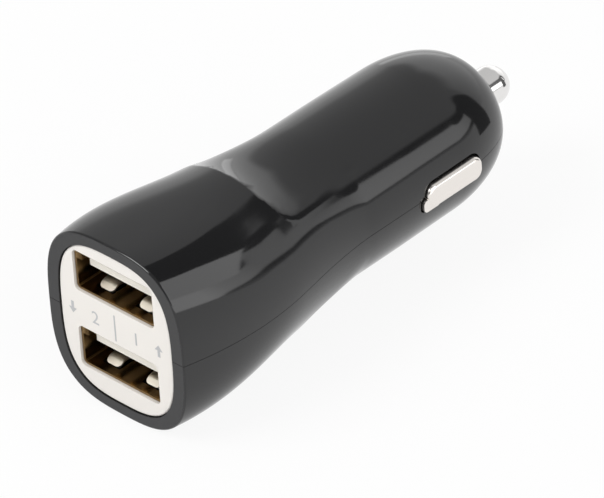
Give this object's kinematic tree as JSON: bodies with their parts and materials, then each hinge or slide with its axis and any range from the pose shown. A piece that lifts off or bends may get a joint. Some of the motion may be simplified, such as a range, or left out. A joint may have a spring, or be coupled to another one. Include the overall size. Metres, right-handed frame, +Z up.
{
  "type": "car charger plug",
  "caption": "Waisted car charger plug with stacked power ports in a recessed pale panel, a round barrel with sprung side contacts and a sprung tip.",
  "frame": {"origin": "on the plug's axis, in the middle of the plain round band that guides the plug in its socket", "axes": "+Y along the plug towards its tip, +Z up with the ports' tongues above their openings, the ports face -Y, and the side contacts stand out along +X and -X"},
  "size_m": [0.026, 0.0684, 0.025],
  "materials": {
    "housing_plastic": "polished black",
    "panel_plastic": "matt warm white",
    "port_metal": "plated, satin",
    "insulator_plastic": "matt cream",
    "terminal_metal": "plated",
    "board_laminate": "lacquered green",
    "moulded_black": "matt",
    "tinned_metal": "tinned",
    "ferrite": "matt",
    "copper_wire": "enamelled",
    "can_metal": "satin",
    "contact_metal": "nickel plated, satin",
    "tip_metal": "polished",
    "spring_steel": "drawn wire"
  },
  "bodies": {
    "housing": {"upper_shell": "housing_plastic", "lower_shell": "housing_plastic", "front_panel": "panel_plastic", "upper_port_shell": "port_metal", "lower_port_shell": "port_metal", "upper_port_tongue": "insulator_plastic", "lower_port_tongue": "insulator_plastic", "upper_port_terminals": "terminal_metal", "lower_port_terminals": "terminal_metal", "port_board": "board_laminate", "main_board": "board_laminate", "converter_chip": "moulded_black", "converter_leads": "tinned_metal", "rectifier_diode": "moulded_black", "choke_core": "ferrite", "choke_winding": "copper_wire", "input_capacitor": "can_metal", "output_capacitor": "can_metal", "chip_resistors": "moulded_black", "tip_spring": "spring_steel", "tip_terminal": "terminal_metal"},
    "tip": {"tip_contact": "tip_metal"},
    "right_contact": {"right_ground_contact": "contact_metal"},
    "left_contact": {"left_ground_contact": "contact_metal"}
  },
  "joints": [
    {"name": "tip_press", "type": "slide", "parent": "housing", "child": "tip", "axis": [0, -1, 0], "range_m": [0, 0.003], "stiffness_N_per_m": 1200, "springref_m": -0.002, "deforming": ["tip_spring"]},
    {"name": "right_ground_press", "type": "hinge", "parent": "housing", "child": "right_contact", "pos_m": [0.00718, 0.0021, 0], "axis": [0, 0, 1], "range_deg": [0, 9], "stiffness_Nm_per_rad": 0.12, "springref_deg": -4.58},
    {"name": "left_ground_press", "type": "hinge", "parent": "housing", "child": "left_contact", "pos_m": [-0.00718, 0.0021, 0], "axis": [0, 0, -1], "range_deg": [0, 9], "stiffness_Nm_per_rad": 0.12, "springref_deg": -4.58}
  ]
}
